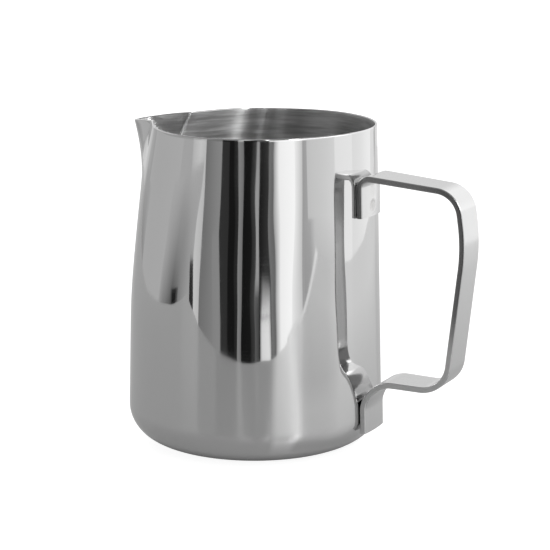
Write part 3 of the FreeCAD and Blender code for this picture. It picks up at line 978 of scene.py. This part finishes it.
# Painted light: the metal sees the table lighter to the right.
RIGHT_LIGHT_RISE, RIGHT_SPAN = 0.20, (0.07, 0.28)
GLEAM, GLEAM_SPAN, GLEAM_TURN, GLEAM_EDGES = 0.24, (0.041, 0.056), 26.5, (13, 7)
SHADE, SHADE_SPAN, SHADE_TURN, SHADE_EDGES = 0.10, (0.12, 0.17), 58.0, (22, 8)
# Painted shadow: the metal sees the table dark close under the base.
CONTACT_SHADOW_SPAN = (0.033, 0.042)
MIRROR_FOCUS = 24 * MM


def facing(finish, outwards, turn, edges):
    """1 close to a direction and 0 beyond its edges: the cosine between the two, ramped."""
    cosine = finish.vector("DOT_PRODUCT", outwards, direction(turn), "Value")
    return finish.between(cosine, *np.cos(np.radians(edges)))


def pale_surface():
    """A pale glossy surface that adds white where the eye, metal or a clear piece sees it."""
    finish = new_finish("pale_table")
    aside = finish.vector("DOT_PRODUCT", finish.place(), viewer_right, "Value")
    reach = finish.vector("LENGTH", finish.place(), output="Value")
    offset = finish.vector("SUBTRACT", finish.place(), MIRROR_FOCUS * towards_viewer)
    outwards = finish.vector("NORMALIZE", offset)
    gleam = (finish.between(reach, *GLEAM_SPAN)
             * facing(finish, outwards, GLEAM_TURN, GLEAM_EDGES))
    shade = (finish.between(reach, *SHADE_SPAN)
             * facing(finish, outwards, SHADE_TURN, SHADE_EDGES))
    # Painted light and shade that only the metal sees: lighter to the right, the painted gleam, the
    # painted shade beyond it.
    mirrored = (MIRRORED + RIGHT_LIGHT_RISE * finish.between(aside, *RIGHT_SPAN)
                + GLEAM * gleam - SHADE * shade)
    # The eye sees white. The metal sees the painted grey, with a painted shadow close under the
    # base.
    white = (TABLE_WHITE * finish.seen_by("Camera", "Transmission")
             + mirrored * finish.between(reach, *CONTACT_SHADOW_SPAN) * finish.seen_by("Glossy"))
    return finish.finished({"Base Color": grey(0.14), "Roughness": 0.28, "IOR": 1.5,
                            "Emission Color": finish.glow(white), "Emission Strength": 1.0})


pale = pale_surface()

# %% [markdown]
# The table ends in front of the jug, where the metal shows the flags instead, and its edge has
# a gleam on the right. A second sheet carries the white on under and beyond it, and is not seen
# in reflections.

# %% Lay the table
TABLE_HEIGHT = -0.1 * MM
GROUND_HEIGHT = -2.1 * MM
TABLE_CORNERS = ((-0.34, 0.173), (0.41, 0.263), (-0.36, -0.7), (0.42, -0.7))
TABLE_EDGE = ((0.12, 0.236), (0.41, 0.285), (0.12, 0.229), (0.41, 0.263))
EDGE_LIGHTS = (0.9, 1.1, 0.9, 1.1)
GROUND_REACH = 3.0
SQUARE = ((-1, 1), (1, 1), (-1, -1), (1, -1))


def level_sheet(name, corners, height):
    """A level four-cornered sheet; each corner is given to the right and towards the viewer."""
    points = np.array([aside * viewer_right + ahead * towards_viewer
                       for aside, ahead in corners])
    return grid_piece(name, (points + [0.0, 0.0, height]).reshape(2, 2, 3))


table = level_sheet("table", TABLE_CORNERS, TABLE_HEIGHT)
ground = level_sheet("ground", GROUND_REACH * np.array(SQUARE), GROUND_HEIGHT)
for sheet in (table, ground):
    sheet.data.materials.append(pale)
ground.visible_glossy = False
give_light(level_sheet("table_edge_gleam", TABLE_EDGE, TABLE_HEIGHT), EDGE_LIGHTS)
print("table ends", TABLE_CORNERS[0][1], "m in front of the jug's axis at its left corner")

# %% [markdown]
# A grey cloth hangs overhead, for the level runs of the strip to mirror. It neither lights the
# table nor shades it. The white all round comes from the world, which is brighter where it is
# looked at than as a light. One soft lamp overhead gives the jug its shadow.

# %% Hang a grey cloth overhead
OVERHEAD_LIGHT = 0.3

ceiling = level_sheet("cloth_overhead", ROOM_RADIUS * np.array(SQUARE), TOP)
give_light(ceiling, np.full(len(SQUARE), OVERHEAD_LIGHT))
ceiling.visible_diffuse = False
ceiling.visible_shadow = False
print("overhead cloth hangs", TOP, "m above the table")

# %% The world and the lamp
WORLD_LIGHT = 0.55

world = bpy.data.worlds.new("studio")
bpy.context.scene.world = world
sky = Finish(world)
looked_at = sky.seen_by("Camera", "Glossy", "Transmission")
sky.connect(world.node_tree.nodes["Background"],
            {"Color": grey(1.0), "Strength": WORLD_LIGHT + (1 - WORLD_LIGHT) * looked_at})


def add_lamp(name, turn, distance, height, size, power):
    """A square soft lamp that points at the middle of the jug."""
    data = bpy.data.lights.new(name, "AREA")
    data.size, data.energy = size, power
    lamp = bpy.data.objects.new(name, data)
    bpy.context.scene.collection.objects.link(lamp)
    lamp.location = distance * direction(turn) + [0.0, 0.0, height]
    towards = Vector((0, 0, HEIGHT / 2)) - lamp.location
    lamp.rotation_euler = towards.to_track_quat("-Z", "Y").to_euler()
    return lamp


lamp = add_lamp("overhead", turn=15, distance=0.45, height=1.1, size=0.7, power=3.0)
print("lamp at", [round(place, 3) for place in lamp.location])
